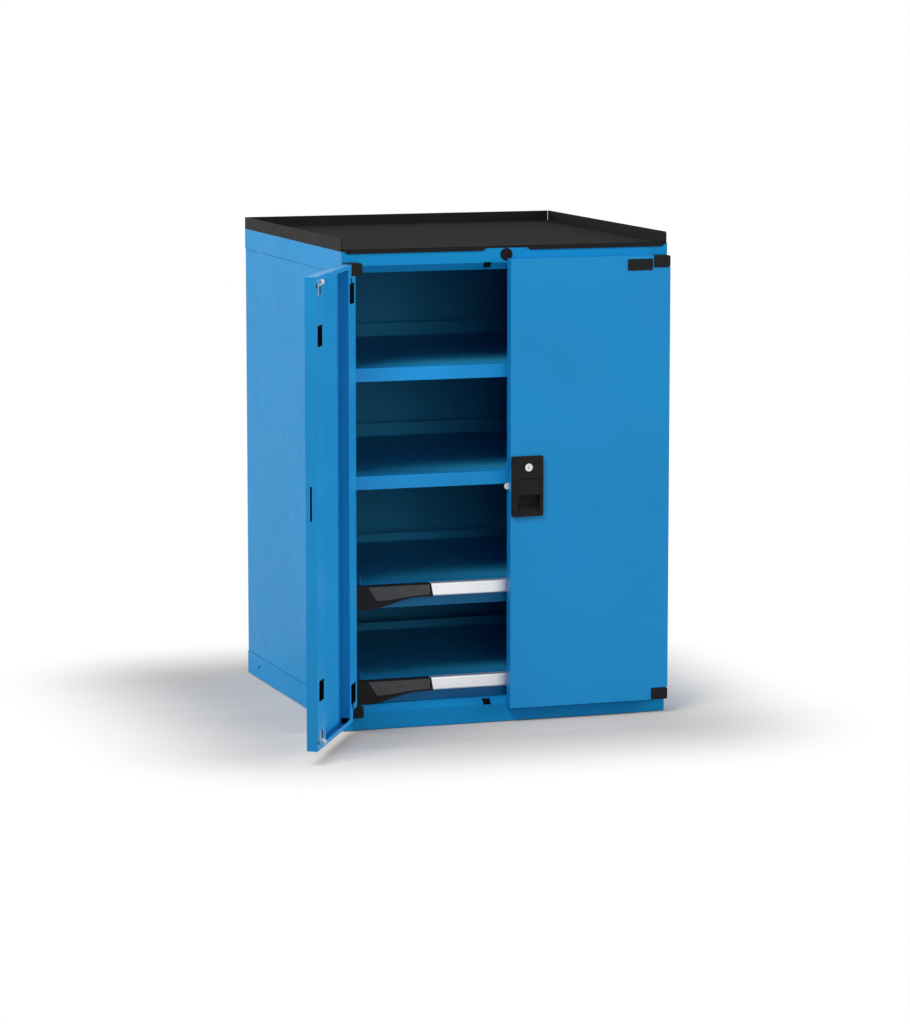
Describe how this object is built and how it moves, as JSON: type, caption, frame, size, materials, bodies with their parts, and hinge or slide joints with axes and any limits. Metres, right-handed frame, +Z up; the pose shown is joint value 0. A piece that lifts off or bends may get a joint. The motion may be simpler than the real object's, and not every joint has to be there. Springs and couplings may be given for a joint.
{
  "type": "tool cabinet",
  "caption": "Steel tool cabinet with two hinged doors, fixed shelves, pull-out shelves and a rimmed tray on top, shown with the left door open.",
  "frame": {"origin": "middle of the footprint of the frame, on the floor", "axes": "+X towards the right door as seen from the front, +Y towards the back, +Z up"},
  "size_m": [0.8913, 1.056, 1.0234],
  "materials": {
    "blue_side": "satin",
    "blue_front": "satin",
    "black_plastic": "fine grain",
    "grey_plastic": "fine grain",
    "rubber_mat": "matt",
    "zinc_steel": "zinc plated",
    "steel": "satin",
    "nickel": "satin",
    "aluminium": "anodised",
    "white_plastic": "smooth"
  },
  "bodies": {
    "cabinet": {"base_frame": "blue_front", "levelling_feet": "black_plastic", "bottom_panel": "blue_side", "left_side_panel": "blue_side", "right_side_panel": "blue_side", "back_panel": "blue_side", "left_front_post": "blue_front", "right_front_post": "blue_front", "top_frame": "blue_front", "top_panel": "blue_side", "top_tray": "black_plastic", "tray_mat": "rubber_mat", "lock_hole_plug": "black_plastic", "rack_rails": "zinc_steel", "shelf_upper": "blue_front", "shelf_lower": "blue_front", "shelf_hooks": "zinc_steel", "hinge_block_left_top": "black_plastic", "hinge_block_left_bottom": "black_plastic", "hinge_block_right_top": "black_plastic", "hinge_block_right_bottom": "black_plastic", "hinge_pins": "steel", "hinge_block_screws": "steel", "slide_outer_upper": "zinc_steel", "slide_outer_lower": "zinc_steel"},
    "left_door": {"left_door_skin": "blue_front", "left_hinge_channel": "blue_front", "left_lock_channel": "blue_front", "left_door_bushes": "black_plastic", "catch_springs": "steel", "catch_axles": "steel"},
    "roller_top": {"catch_roller_top": "white_plastic"},
    "roller_bottom": {"catch_roller_bottom": "white_plastic"},
    "right_door": {"right_door_skin": "blue_front", "right_hinge_channel": "blue_front", "right_lock_channel": "blue_front", "right_door_bushes": "black_plastic", "lock_housing": "black_plastic", "lock_case": "zinc_steel", "hook_pivot": "steel", "paddle_pin": "steel"},
    "paddle": {"paddle": "black_plastic"},
    "key": {"key_barrel": "nickel"},
    "hook": {"latch_hook": "nickel"},
    "pullout_upper": {"pullout_upper_tray": "blue_front", "pullout_upper_bar": "aluminium", "pullout_upper_cap_left": "black_plastic", "pullout_upper_cap_right": "black_plastic", "pullout_upper_slide_inner": "zinc_steel"},
    "slides_upper": {"pullout_upper_slide_middle": "zinc_steel"},
    "lever_upper": {"pullout_upper_lever": "grey_plastic"},
    "pullout_lower": {"pullout_lower_tray": "blue_front", "pullout_lower_bar": "aluminium", "pullout_lower_cap_left": "black_plastic", "pullout_lower_cap_right": "black_plastic", "pullout_lower_slide_inner": "zinc_steel"},
    "slides_lower": {"pullout_lower_slide_middle": "zinc_steel"},
    "lever_lower": {"pullout_lower_lever": "grey_plastic"}
  },
  "joints": [
    {"name": "left_door_hinge", "type": "hinge", "parent": "cabinet", "child": "left_door", "pos_m": [-0.3525, -0.381, 0.503], "axis": [0, 0, -1], "range_deg": [-120, 60]},
    {"name": "right_door_hinge", "type": "hinge", "parent": "cabinet", "child": "right_door", "pos_m": [0.3525, -0.381, 0.503], "axis": [0, 0, 1], "range_deg": [0, 180]},
    {"name": "catch_roller_top_spin", "type": "hinge", "parent": "left_door", "child": "roller_top", "pos_m": [-0.49136, -0.66052, 0.9638], "axis": [-0.5, -0.866, 0], "continuous": true},
    {"name": "catch_roller_bottom_spin", "type": "hinge", "parent": "left_door", "child": "roller_bottom", "pos_m": [-0.49136, -0.66052, 0.0422], "axis": [-0.5, -0.866, 0], "continuous": true},
    {"name": "paddle_hinge", "type": "hinge", "parent": "right_door", "child": "paddle", "pos_m": [0.0399, -0.3905, 0.5136], "axis": [-1, 0, 0], "range_deg": [0, 30], "stiffness_Nm_per_rad": 0.05, "springref_deg": -5.73},
    {"name": "latch_hook_swing", "type": "hinge", "parent": "right_door", "child": "hook", "pos_m": [0.0535, -0.3756, 0.501], "axis": [0, 1, 0], "range_deg": [0, 45]},
    {"name": "key_turn", "type": "hinge", "parent": "right_door", "child": "key", "pos_m": [0.0395, -0.3865, 0.5406], "axis": [0, 1, 0], "range_deg": [0, 90]},
    {"name": "pullout_upper_slide", "type": "slide", "parent": "cabinet", "child": "pullout_upper", "axis": [0, -1, 0], "range_m": [0, 0.01]},
    {"name": "slides_upper_slide", "type": "slide", "parent": "cabinet", "child": "slides_upper", "axis": [0, -1, 0], "range_m": [0, 0.005]},
    {"name": "lever_upper_press", "type": "hinge", "parent": "pullout_upper", "child": "lever_upper", "pos_m": [-0.1661, -0.35, 0.2837], "axis": [0, 0, -1], "range_deg": [0, 3], "stiffness_Nm_per_rad": 0.3, "springref_deg": -1.15},
    {"name": "pullout_lower_slide", "type": "slide", "parent": "cabinet", "child": "pullout_lower", "axis": [0, -1, 0], "range_m": [0, 0.01]},
    {"name": "slides_lower_slide", "type": "slide", "parent": "cabinet", "child": "slides_lower", "axis": [0, -1, 0], "range_m": [0, 0.005]},
    {"name": "lever_lower_press", "type": "hinge", "parent": "pullout_lower", "child": "lever_lower", "pos_m": [-0.1661, -0.35, 0.0837], "axis": [0, 0, -1], "range_deg": [0, 3], "stiffness_Nm_per_rad": 0.3, "springref_deg": -1.15}
  ],
  "couplings": [
    {"joint": "latch_hook_swing", "follows": "paddle_hinge", "ratio": 1.5},
    {"joint": "slides_upper_slide", "follows": "pullout_upper_slide", "ratio": 0.5},
    {"joint": "slides_lower_slide", "follows": "pullout_lower_slide", "ratio": 0.5}
  ]
}
